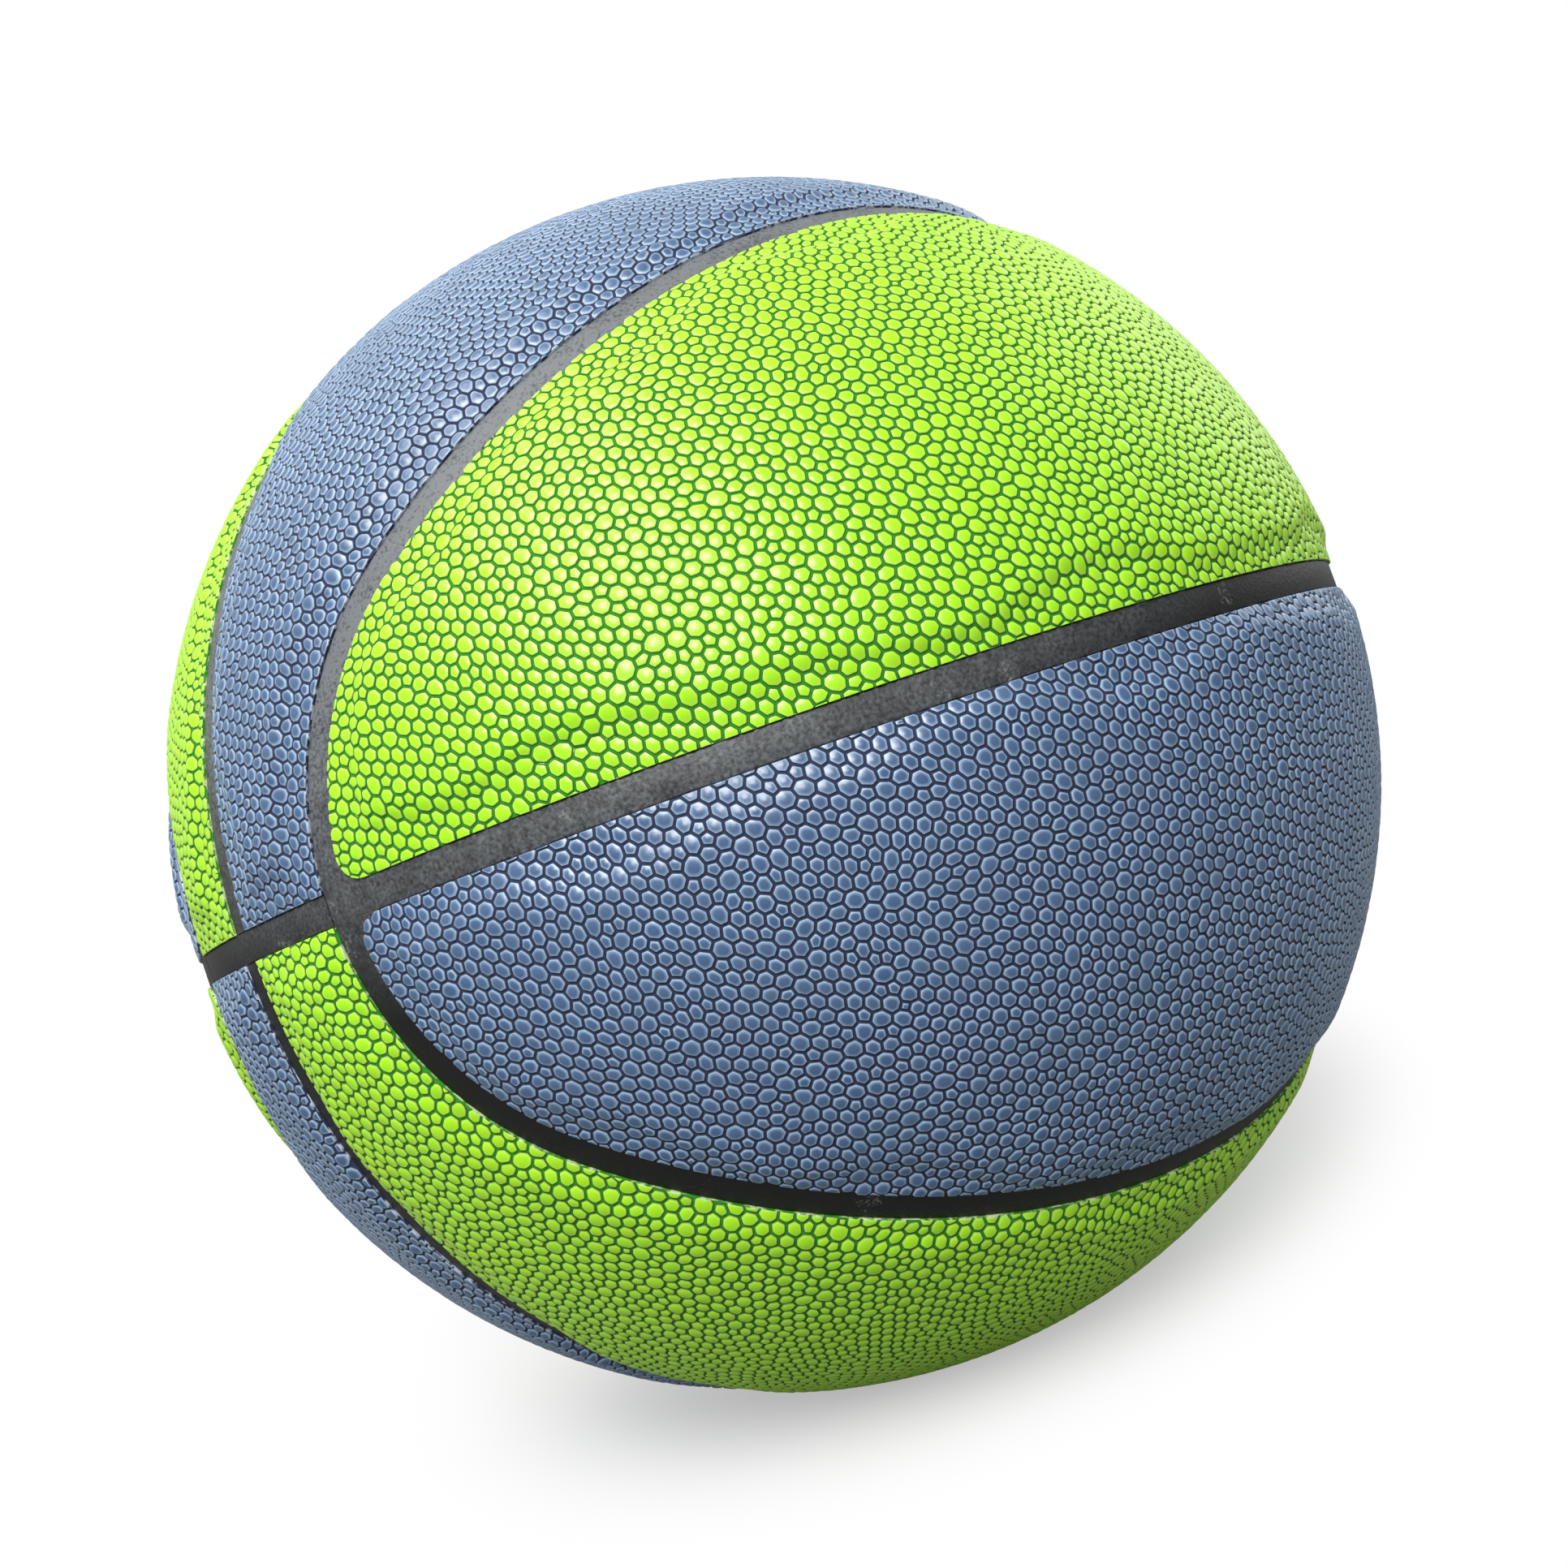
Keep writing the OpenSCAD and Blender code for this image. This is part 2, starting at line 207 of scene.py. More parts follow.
def patched(name, base, other, patch_mm, rough, grain_mm=0.6, lift_mm=0.02):
    """A moulded material whose colour drifts between two tones, with a fine grain."""
    material, tree = new_material(name)
    where = add(tree, "ShaderNodeTexCoord").outputs["Object"]
    drift = add(tree, "ShaderNodeTexNoise", {"Vector": where, "Scale": 1 / (patch_mm * MM),
                                             "Detail": 4.0})
    grain = add(tree, "ShaderNodeTexNoise", {"Vector": where, "Scale": 1 / (grain_mm * MM),
                                             "Detail": 2.0})
    share = add(tree, "ShaderNodeMapRange", {"Value": drift.outputs["Fac"], "From Min": 0.35,
                                             "From Max": 0.7, "To Max": 0.5})
    tone = add(tree, "ShaderNodeMix", {0: share.outputs[0], 6: rgb(base), 7: rgb(other)},
               data_type="RGBA")
    gloss = add(tree, "ShaderNodeMapRange", {"Value": drift.outputs["Fac"],
                                             "To Min": rough - 0.1, "To Max": rough + 0.1})
    bump = add(tree, "ShaderNodeBump", {"Height": grain.outputs["Fac"], "Strength": 0.4,
                                        "Distance": lift_mm * MM})
    shader = add(tree, "ShaderNodeBsdfPrincipled", {
        "Base Color": tone.outputs[2], "Roughness": gloss.outputs[0],
        "Normal": bump.outputs[0], "IOR": 1.52})
    add(tree, "ShaderNodeOutputMaterial", {"Surface": shader.outputs[0]})
    return material


def dress(node, material):
    """Gives a CAD node a better material and leaves its mesh alone."""
    for slot in nodes[node].material_slots:
        slot.material = material


# Blown butyl rubber: dark, slightly satin, with a dusty grey bloom
dress("bladder", patched("butyl_rubber_blown", BUTYL, BUTYL_BLOOM, 14, 0.45))


# Winding. Nylon thread wound over the bladder in every direction, which
# keeps the ball round. The CAD's thin shell stands for the whole layer.
NYLON = "#f1efe4"
NYLON_SHADE = "#a9a595"
BUNDLE_MM = 0.9                 # threads are drawn in bundles, so that they show
WINDING_TURNS = ((0.3, 0.2, 0.0), (1.4, 0.5, 0.9), (0.6, 1.3, 2.1))     # three ways round

# Nylon thread in latex: off-white lines that cross at all angles, a little shiny
wound, tree = new_material("nylon_thread_wound")
where = add(tree, "ShaderNodeTexCoord").outputs["Object"]
lines = None
for turn in WINDING_TURNS:
    turned = add(tree, "ShaderNodeMapping", {"Vector": where, "Rotation": turn})
    wave = add(tree, "ShaderNodeTexWave", {"Vector": turned.outputs[0], "Distortion": 1.2,
                                           "Scale": 1 / (BUNDLE_MM * MM) / (2 * pi)})
    lines = wave.outputs["Fac"] if lines is None else add(
        tree, "ShaderNodeMath", {0: lines, 1: wave.outputs["Fac"]}, operation="MULTIPLY").outputs[0]
tone = add(tree, "ShaderNodeMix", {0: lines, 6: rgb(NYLON_SHADE), 7: rgb(NYLON)}, data_type="RGBA")
bump = add(tree, "ShaderNodeBump", {"Height": lines, "Strength": 0.6, "Distance": 0.1 * MM})
shader = add(tree, "ShaderNodeBsdfPrincipled", {"Base Color": tone.outputs[2], "Roughness": 0.5,
                                                "Normal": bump.outputs[0], "IOR": 1.53})
add(tree, "ShaderNodeOutputMaterial", {"Surface": shader.outputs[0]})
dress("winding", wound)


# Carcass. A ball of black rubber moulded over the winding. The cover's
# panels and strips are cemented to it.
CARCASS = "#2b2e31"
CARCASS_SCUFF = "#3d4043"
# Moulded natural rubber: dull near-black, faintly mottled by the cement
dress("carcass", patched("natural_rubber_moulded", CARCASS, CARCASS_SCUFF, 9, 0.7))


# Foam backing. A sheet of sponge under the crown of each panel, which gives
# the cover its soft grip. It is out of sight.
FOAM = "#efe6c8"
FOAM_SHADE = "#cfc39b"
# Rubber sponge, skived sheet: matt cream with open pores
sponge = patched("sponge_sheet", FOAM, FOAM_SHADE, 1.5, 0.85, grain_mm=0.8, lift_mm=0.15)
QUARTERS = [(side, form, level) for side in ("right", "left")
            for form in ("cap", "band") for level in ("upper", "lower")]
for quarter in QUARTERS:
    dress("foam_%s_%s_%s" % quarter, sponge)


# Valve. A rubber stem bonded through all layers, and a plug pressed into
# it with a hole for the needle.
STEM = "#26282a"
STEM_WEAR = "#3a3c3e"
PLUG = "#303234"
# Moulded rubber: black with a soft sheen, smoother than the strips
dress("valve_stem", patched("rubber_stem_moulded", STEM, STEM_WEAR, 4, 0.5, grain_mm=0.3))
dress("valve_plug", patched("rubber_plug_moulded", PLUG, STEM_WEAR, 3, 0.42, grain_mm=0.3))


# Rubber strips. Flat strips of extruded black rubber lie in the channels
# between the panels, cemented to the carcass: an oval one round each end,
# and straight ones cut to butt against the ovals and each other.
BED_R = 118.3                   # underside of the panels and the strips
CHANNEL_W = 5.4
STRIP_W = 5.2
STRIP_T = 0.9
STRIP_TOP_R = BED_R + STRIP_T
STRIP_CORNER = 0.35             # rounded edges of a strip, and the points of each
CORNER_POINTS = 3
STRIP_STEP = 1.5                # length of one mesh step along a strip
STRIP_SHARP = radians(40)       # a fold sharper than this shows as an edge
BUTT_GAP = 0.1
LOOP_TILT = radians(45)         # of a loop's long sides, off the middle seam
LOOP_POINTS = 256
WAIST_W = 30.4                  # from the cross seam to a loop, along the middle seam
CAP_CORNER = 5.0                # rounded corners of the end panels
WEB_POINTS = 9                  # round such a corner, of the rubber that fills it
WEB_LAP = 0.4                   # its reach past the channel's side, into the strips
WEB_GAP = 0.05
WEB_STEP = 0.03
MERGE = 1e-6                    # points this near, in metres, are one
HALVINGS = 40
RUBBER = "#040404"
# the dust tone, which also serves as a painted sheen
RUBBER_DUST_AND_SHEEN = "#696d70"
RUBBER_SCUFF = "#8d928c"
RUBBER_GRAIN = 0.6              # sizes of the grain, the dust's patches and the scuffs
DUST_PATCH = 7
SCUFF_GRAIN = 1.1
SHEEN_AND_DUST_SIDE = (0.55, 0.75, -0.35)     # way to the side painted with sheen and greyed by dust, in the camera's terms
SHEEN_AND_DUST_RIM = (0.40, 0.80)         # where the painted sheen and the dust begin and are full, along that way
RUB_PX = ((1160, 853), (1245, 826), (700, 1003), (408, 1118), (430, 1165), (352, 1168),
          (1508, 731), (1075, 1478))    # where the photograph shows pale rub marks
RUB_R = 4.0

# The middle seam lies in z = 0, the cross seam in x = 0, and an oval loop goes
# round each end of the X axis: two long arcs of great circles with round ends
loop_reach = pi / 2 - WAIST_W / BALL_R
end_turn = atan2(sin(loop_reach) - sin(LOOP_TILT), cos(loop_reach))
end_span = loop_reach - end_turn
side_axis = np.array([sin(LOOP_TILT), 0, -cos(LOOP_TILT)])
end_axis = np.array([cos(end_turn), sin(end_turn), 0])
end_plane = np.cross(end_axis, side_axis)


def unit(v):
    """Vectors scaled to a length of one."""
    return v / np.linalg.norm(v, axis=-1, keepdims=True)


def off_middle(p):
    """Distance in mm from the middle seam, for directions with z above zero."""
    return BALL_R * np.arcsin(np.clip(p[..., 2], -1, 1))


def off_cross(p):
    """Distance in mm from the cross seam, for directions with x above zero."""
    return BALL_R * np.arcsin(np.clip(p[..., 0], -1, 1))


def in_loop(p):
    """Distance in mm inside the right loop, for directions with z above zero."""
    p = np.stack([p[..., 0], np.abs(p[..., 1]), p[..., 2]], axis=-1)
    side = np.arcsin(np.clip(p @ side_axis, -1, 1))
    end = end_span - np.arccos(np.clip(p @ end_axis, -1, 1))
    return BALL_R * np.where(p @ end_plane > 0, end, side)


def seen_at(pixel):
    """The place in mm on the strips' face that a pixel of the photograph shows."""
    across, down = np.array(pixel) - CENTRE_PX
    ray = unit(across * ways[2] - down * ways[1] - FOCAL_PX * ways[0])
    start = toward * CAMERA_REACH
    along = start @ ray
    return start - ray * (along + (along ** 2 - start @ start + STRIP_TOP_R ** 2) ** 0.5)


# Extruded and cured rubber strip: matt black, fine grain, greyed in patches
# by dust and by a painted sheen on the side toward the lamps, with pale rubbed
# marks here and there
strip_rubber, tree = new_material("rubber_strip_matt")
where = add(tree, "ShaderNodeTexCoord").outputs["Object"]
dust = add(tree, "ShaderNodeTexNoise", {"Vector": where, "Scale": 1 / (DUST_PATCH * MM),
                                        "Detail": 6.0, "Roughness": 0.7})
# painted sheen: the dust tone shows only on the strips' side toward the lamps, upper left front
dust_and_sheen = add(tree, "ShaderNodeVectorMath", {
    0: where, 1: tuple(np.array(SHEEN_AND_DUST_SIDE) @ ways / (STRIP_TOP_R * MM))}, operation="DOT_PRODUCT")
dust_and_sheen = add(tree, "ShaderNodeMapRange", {"Value": dust_and_sheen.outputs["Value"],
                                         "From Min": SHEEN_AND_DUST_RIM[0], "From Max": SHEEN_AND_DUST_RIM[1]})
thick = add(tree, "ShaderNodeMapRange", {"Value": dust.outputs["Fac"], "From Min": 0.3,
                                         "From Max": 0.7, "To Min": 0.55, "To Max": 1.45})
grain = add(tree, "ShaderNodeTexNoise", {"Vector": where, "Scale": 1 / (RUBBER_GRAIN * MM),
                                         "Detail": 4.0})
speckle = add(tree, "ShaderNodeMapRange", {"Value": grain.outputs["Fac"], "From Min": 0.3,
                                           "From Max": 0.7, "To Min": 0.3, "To Max": 1.75})
dust_and_sheen = add(tree, "ShaderNodeMath", {0: dust_and_sheen.outputs[0], 1: thick.outputs[0]},
            operation="MULTIPLY")
dust_and_sheen = add(tree, "ShaderNodeMath", {0: dust_and_sheen.outputs[0], 1: speckle.outputs[0]},
            operation="MULTIPLY")
tone = add(tree, "ShaderNodeMix", {0: dust_and_sheen.outputs[0], 6: rgb(RUBBER), 7: rgb(RUBBER_DUST_AND_SHEEN)},
           data_type="RGBA")
rub = add(tree, "ShaderNodeTexNoise", {"Vector": where, "Scale": 1 / (SCUFF_GRAIN * MM),
                                       "Detail": 6.0, "Roughness": 0.8})
worn = None
for pixel in RUB_PX:
    off = add(tree, "ShaderNodeVectorMath", {0: where, 1: tuple(seen_at(pixel) * MM)},
              operation="DISTANCE")
    near = add(tree, "ShaderNodeMapRange", {"Value": off.outputs["Value"], "From Max": RUB_R * MM,
                                            "To Min": 0.2, "To Max": 0.0})
    worn = near if worn is None else add(tree, "ShaderNodeMath", {
        0: worn.outputs[0], 1: near.outputs[0]}, operation="MAXIMUM")
rub = add(tree, "ShaderNodeMath", {0: rub.outputs["Fac"], 1: worn.outputs[0]}, operation="ADD")
rub = add(tree, "ShaderNodeMapRange", {"Value": rub.outputs[0], "From Min": 0.66,
                                       "From Max": 0.80, "To Max": 0.8})
tone = add(tree, "ShaderNodeMix", {0: rub.outputs[0], 6: tone.outputs[2],
                                   7: rgb(RUBBER_SCUFF)}, data_type="RGBA")
bump = add(tree, "ShaderNodeBump", {"Height": grain.outputs["Fac"], "Strength": 0.9,
                                    "Distance": 0.12 * MM})
shader = add(tree, "ShaderNodeBsdfPrincipled", {
    "Base Color": tone.outputs[2], "Roughness": 0.48, "Normal": bump.outputs[0], "IOR": 1.45})
add(tree, "ShaderNodeOutputMaterial", {"Surface": shader.outputs[0]})

# A strip is its section swept along the seam, its top square to the ball
sweep = bpy.data.node_groups.new("strip_sweep", "GeometryNodeTree")
for name, kind in (("Seam", "Geometry"), ("Width", "Float"), ("Thickness", "Float"),
                   ("Corner", "Float"), ("Rubber", "Material")):
    sweep.interface.new_socket(name, in_out="INPUT", socket_type="NodeSocket" + kind)
sweep.interface.new_socket("Strip", in_out="OUTPUT", socket_type="NodeSocketGeometry")
given = add(sweep, "NodeGroupInput").outputs
line = add(sweep, "GeometryNodeMeshToCurve", {"Mesh": given["Seam"]})
place = add(sweep, "GeometryNodeInputPosition")
out = add(sweep, "ShaderNodeVectorMath", {0: place.outputs[0]}, operation="NORMALIZE")
line = add(sweep, "GeometryNodeSetCurveNormal", {"Curve": line.outputs[0],
                                                 "Normal": out.outputs[0]}, mode="FREE")
section = add(sweep, "GeometryNodeCurvePrimitiveQuadrilateral", {
    "Width": given["Thickness"], "Height": given["Width"]})
section = add(sweep, "GeometryNodeFilletCurve", {
    "Curve": section.outputs[0], "Count": CORNER_POINTS, "Radius": given["Corner"]}, mode="POLY")
swept = add(sweep, "GeometryNodeCurveToMesh", {
    "Curve": line.outputs[0], "Profile Curve": section.outputs[0], "Fill Caps": True})
real = add(sweep, "GeometryNodeRealizeInstances", {"Geometry": swept.outputs[0]})
real = add(sweep, "GeometryNodeSetMaterial", {"Geometry": real.outputs[0],
                                              "Material": given["Rubber"]})
add(sweep, "NodeGroupOutput", {"Strip": real.outputs[0]})


def grown(name, mesh, group, values):
    """The plain mesh that a node group makes from a mesh and its values."""
    seed = new_piece(name, mesh)
    modifier = seed.modifiers.new("grow", "NODES")
    modifier.node_group = group
    for item in group.interface.items_tree:
        if item.in_out == "INPUT" and item.name in values:
            modifier[item.identifier] = values[item.name]
    graph = bpy.context.evaluated_depsgraph_get()
    made = bpy.data.meshes.new_from_object(seed.evaluated_get(graph))
    bpy.data.objects.remove(seed)
    made.name = name
    return made


def line_mesh(name, points, closed):
    """Points joined in a row, and the last to the first where the row is closed."""
    mesh = bpy.data.meshes.new(name)
    edges = [(k, k + 1) for k in range(len(points) - 1)]
    if closed:
        edges.append((len(points) - 1, 0))
    mesh.from_pydata([tuple(p) for p in points], edges, [])
    return mesh


def add_web(shell, web):
    """Adds a thin plate whose outline all shows from its first point."""
    low, top = ([shell.verts.new(p * radius * MM) for p in web]
                for radius in (BED_R, STRIP_TOP_R - WEB_STEP))
    for k, here in enumerate(top):
        after = (k + 1) % len(web)
        shell.faces.new((low[k], low[after], top[after], here))
        if 0 < k < len(web) - 1:
            shell.faces.new((top[0], here, top[after]))
            shell.faces.new((low[0], low[after], low[k]))


def lay_strip(node, directions, closed=False, webs=()):
    """Sweeps a strip through directions and puts it in the place of its node."""
    points = unit(np.array(directions)) * (BED_R + STRIP_T / 2) * MM
    mesh = grown(node + "_rubber", line_mesh(node + "_line", points, closed), sweep, {
        "Width": STRIP_W * MM, "Thickness": STRIP_T * MM, "Corner": STRIP_CORNER * MM,
        "Rubber": strip_rubber})
    shell = bmesh.new()
    shell.from_mesh(mesh)
    for web in webs:
        add_web(shell, web)
    bmesh.ops.remove_doubles(shell, verts=shell.verts, dist=MERGE)
    bmesh.ops.recalc_face_normals(shell, faces=shell.faces)
    shell.to_mesh(mesh)
    shell.free()
    mesh.polygons.foreach_set("use_smooth", [True] * len(mesh.polygons))
    mesh.set_sharp_from_angle(angle=STRIP_SHARP)
    piece = new_piece(node + "_rubber", mesh)
    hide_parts(node)
    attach(piece, "root")


def edge_of(at, inside, count):
    """Where each of count lines, from its start at(0) to at(pi / 2), comes out."""
    low, high = np.zeros(count), np.full(count, pi / 2)
    for _ in range(HALVINGS):
        mid = (low + high) / 2
        within = inside(at(mid))
        low, high = np.where(within, mid, low), np.where(within, high, mid)
    return at(mid)


def loop_line(side):
    """Directions round the seam loop at one end of the ball."""
    around = np.linspace(0, 2 * pi, LOOP_POINTS, endpoint=False)
    return edge_of(
        lambda turn: np.stack([np.cos(turn), np.sin(turn) * np.cos(around),
                               np.sin(turn) * np.sin(around)], axis=-1),
        lambda p: in_loop(np.abs(p)) > 0, LOOP_POINTS) * (side, 1, 1)


def arc_line(first, last, way):
    """Directions along the great circle from the Y axis to a way square to it,
    between two angles off the Y axis."""
    steps = max(2, round(abs(last - first) * BALL_R / STRIP_STEP))
    angles = np.linspace(first, last, steps + 1)
    return np.outer(np.cos(angles), (0, 1, 0)) + np.outer(np.sin(angles), way)


def corner_web(side, end, level):
    """Directions round the web of rubber that fills the corner between a loop
    and the middle seam, up to the rounded corner of the panel there."""
    turns = np.linspace(0, pi / 2, WEB_POINTS)
    rim = CAP_CORNER - (CAP_CORNER + WEB_GAP) * np.stack([np.sin(turns), np.cos(turns)], axis=1)
    flat = np.concatenate([[(-WEB_LAP, -WEB_LAP), (CAP_CORNER, -WEB_LAP)], rim,
                           [(-WEB_LAP, CAP_CORNER)]])
    z = np.sin((CHANNEL_W / 2 + flat[:, 0]) / BALL_R)
    ring = np.sqrt(1 - z ** 2)
    return edge_of(
        lambda turn: np.stack([np.cos(turn) * ring, np.sin(turn) * ring, z], axis=-1),
        lambda p: in_loop(p) > CHANNEL_W / 2 + flat[:, 1], len(flat)) * (side, end, level)


butt = (STRIP_W / 2 + BUTT_GAP) / BALL_R    # where a cut end stops, off a seam's middle
loop_y = pi / 2 - loop_reach            # the loop's place off the Y axis, on the middle seam
for node, way in (("strip_loop_right", 1), ("strip_loop_left", -1)):
    lay_strip(node, loop_line(way), closed=True,
              webs=[corner_web(way, end, level) for end in (1, -1) for level in (1, -1)])
for node, way in (("strip_middle_right", 1), ("strip_middle_left", -1)):
    lay_strip(node, arc_line(loop_y + butt, pi - loop_y - butt, (way, 0, 0)))
for node, way in (("strip_middle_back", 1), ("strip_middle_front", -1)):
    lay_strip(node, arc_line(-loop_y + butt, loop_y - butt, (1, 0, 0)) * (1, way, 1))
for node, way in (("strip_cross_upper", 1), ("strip_cross_lower", -1)):
    lay_strip(node, arc_line(butt, pi - butt, (0, 0, way)))


# Cover panels. Eight panels of composite leather, a polyurethane skin on a
# fibre backing, embossed with pebbles. They are die-cut through the pebbles
# and cemented down over their foam, so they swell between the channels.
EDGE_R = 119.7                  # the panels' edges
LEATHER_T = 1.4
FOAM_INSET = 5.5
VALVE_PANEL = "left_cap_upper"
VALVE_ANGLE = radians(10)       # of the valve, above the middle seam
VALVE_HOLE_R = 4.6
LIP_W = {"upper": 3.4, "lower": 0.8}    # flat lip of a panel along its edge
LIP_RISE = 0.20
ROLL_W = {"upper": 4.2, "lower": 5.6}   # slope from the lip up to the crown
PUCKER = 1.2                    # how far the slope wanders in and out
PUCKERS = (((0.13, 0.09, 0.05), 0.4), ((-0.07, 0.16, 0.04), 2.1), ((0.05, -0.11, 0.19), 4.0))
PEBBLES = 34000                 # on the whole ball, about 2.5 mm apart
PEBBLE_SEED = 7
PEBBLE_SHIFT = 0.40             # disorder of their places, in spacings
PEBBLE_SETTLE = 5               # rounds that even the places out
VALLEY_DEPTH = 0.42
PEBBLE_SIDE = (0.17, -0.36)     # rings of each pebble: distance in from its edge, height
PEBBLE_TOP = (0.36, 0.0)
PEBBLE_CROWN = 0.05             # height of its middle
PEBBLE_ROUND = 0.28             # how far its rim's shading leans outward
PEBBLE_LIFT = 0.06              # how much the tops differ in height and in slope
PEBBLE_TILT = 0.08
SMALL_TOP = 0.62                # most of a small pebble's half width that its slope takes
CORNER_MOST = 0.75              # most of the way to its middle that a corner moves
CORNER_CUT = 0.22               # share of a side that a pebble's rounded corner takes
DIE_CORNER = 0.03               # the same where the die cuts the pebble
CUT_LEAST = 1.5                 # a pebble cut along less than this stays whole above its base
CUT_NEAR = 0.003                # a cut lies this near the panel's edge
SLIVER = 0.35                   # mm2; a smaller scrap of a pebble at an edge stays flat
TONE_SEED = 11
UP_SIDE, UP_RIM, UP_CROWN = 0.5, 0.9, 1.0       # marks of how far up its pebble a place is
PEBBLE_SHARP = radians(62)      # a fold sharper than this shows as an edge
SKIN_GRAIN = 0.5                # sizes of the skin's grain, the fraying and the soiling
FRAY_GRAIN = 1.6
SOIL_PATCH = 16
FRAY_SWING = 0.55               # how much the fraying comes and goes along an edge
FRAY_RIM = (1.25, 1.33)
TOP_GLOSS = (0.24, 0.38)        # roughness of the pebbles' tops, and of the valleys
VALLEY_GLOSS = 0.9


def faced(places, faces):
    """The direction that each triangle faces, as long as twice its area."""
    a, b, c = (places[faces[:, k]] for k in range(3))
    return np.cross(b - a, c - a)


def net(places):
    """Triangles that join each pebble's place to its neighbours, all facing out.
    Each half of the ball is drawn flat from the far pole and joined there."""
    found = []
    for pole in (1, -1):
        near = np.flatnonzero(places[:, 2] * pole > -0.1)
        flat = places[near, :2] / (1 + pole * places[near, 2:])
        faces = near[np.array(delaunay_2d_cdt(flat.tolist(), [], [], 0, 0.0)[2])]
        inward = np.einsum("nc,nc->n", faced(places, faces), places[faces[:, 0]]) < 0
        faces[inward] = faces[inward, ::-1]
        found.append(faces[faced(places, faces)[:, 2] * pole >= 0])
    return np.concatenate(found)


# The places start on a spiral, are moved at random, and then move apart
number = np.arange(PEBBLES) + 0.5
height = 1 - 2 * number / PEBBLES
turn = number * pi * (3 - 5 ** 0.5)
ring = np.sqrt(1 - height ** 2)
places = np.stack([ring * np.cos(turn), ring * np.sin(turn), height], axis=-1)
spacing = (4 * pi / PEBBLES) ** 0.5
dice = np.random.default_rng(PEBBLE_SEED)
places = unit(places + dice.uniform(-PEBBLE_SHIFT, PEBBLE_SHIFT, places.shape) * spacing)
for _ in range(PEBBLE_SETTLE):
    faces = net(places)
    pull = faced(places, faces)
    places = np.zeros_like(places)
    for k in range(3):
        np.add.at(places, faces[:, k], pull)
    places = unit(places)
net_mesh = bpy.data.meshes.new("pebble_net")
net_mesh.from_pydata(places.tolist(), [], net(places).tolist())

# The pebbles' outlines: one cell round each place
pebbled = bpy.data.node_groups.new("pebble_cells", "GeometryNodeTree")
for name, kind in (("Net", "Geometry"), ("Radius", "Float"), ("Skin", "Material")):
    pebbled.interface.new_socket(name, in_out="INPUT", socket_type="NodeSocket" + kind)
pebbled.interface.new_socket("Cells", in_out="OUTPUT", socket_type="NodeSocketGeometry")
given = add(pebbled, "NodeGroupInput").outputs
cells = add(pebbled, "GeometryNodeDualMesh", {"Mesh": given["Net"]})
place = add(pebbled, "GeometryNodeInputPosition")
out = add(pebbled, "ShaderNodeVectorMath", {0: place.outputs[0]}, operation="NORMALIZE")
out = add(pebbled, "ShaderNodeVectorMath", {0: out.outputs[0], "Scale": given["Radius"]},
          operation="SCALE")
cells = add(pebbled, "GeometryNodeSetPosition", {"Geometry": cells.outputs[0],
                                                 "Position": out.outputs[0]})
real = add(pebbled, "GeometryNodeRealizeInstances", {"Geometry": cells.outputs[0]})
real = add(pebbled, "GeometryNodeSetMaterial", {"Geometry": real.outputs[0],
                                                "Material": given["Skin"]})
add(pebbled, "NodeGroupOutput", {"Cells": real.outputs[0]})

cell_mesh = grown("pebble_cells", net_mesh, pebbled, {"Radius": 1.0})
knots = np.empty(len(cell_mesh.vertices) * 3)
cell_mesh.vertices.foreach_get("co", knots)
knots = unit(knots.reshape(-1, 3))
counts = np.empty(len(cell_mesh.polygons), int)
starts = np.empty(len(cell_mesh.polygons), int)
corners = np.empty(len(cell_mesh.loops), int)
cell_mesh.polygons.foreach_get("loop_total", counts)
cell_mesh.polygons.foreach_get("loop_start", starts)
cell_mesh.loops.foreach_get("vertex_index", corners)


def cap_inset(p):
    """Distance in mm inside the edge of an end panel, its two corners rounded."""
    a, b = off_middle(p) - CHANNEL_W / 2, in_loop(p) - CHANNEL_W / 2
    corner = CAP_CORNER - np.hypot(CAP_CORNER - a, CAP_CORNER - b)
    return np.where((a < CAP_CORNER) & (b < CAP_CORNER), corner, np.minimum(a, b))


def off_valve(p):
    """Distance in mm outside the hole for the valve, in the valve's own quarter."""
    axis = np.array([cos(VALVE_ANGLE), 0, sin(VALVE_ANGLE)])
    return BALL_R * np.arccos(np.clip(p @ axis, -1, 1)) - VALVE_HOLE_R


def rules(form, with_valve):
    """The distances in mm that are all above zero for a point on a panel."""
    if form == "cap":
        return [cap_inset] + ([off_valve] if with_valve else [])
    return [lambda p: off_middle(p) - CHANNEL_W / 2, lambda p: off_cross(p) - CHANNEL_W / 2,
            lambda p: -in_loop(p) - CHANNEL_W / 2]


def inset(form, p):
    """Distance in mm inside the panel's outer edge."""
    return np.min([rule(p) for rule in rules(form, False)], axis=0)


def cut_point(rule, a, b, da, db):
    """Where the line from a to b crosses the edge of a rule."""
    for _ in range(4):
        m = unit(a + (b - a) * da / (da - db))
        dm = float(rule(m))
        if abs(dm) < CUT_NEAR:
            break
        if (dm > 0) == (da > 0):
            a, da = m, dm
        else:
            b, db = m, dm
    return m


def on_edge(rule, p, along):
    """The point of a rule's edge that is nearest to p, where the edge runs along."""
    step = 1e-3
    aside = unit(np.cross(p, along))
    slope = (float(rule(unit(p + aside * step))) - float(rule(p))) / step
    return unit(p - aside * float(rule(p)) / slope)


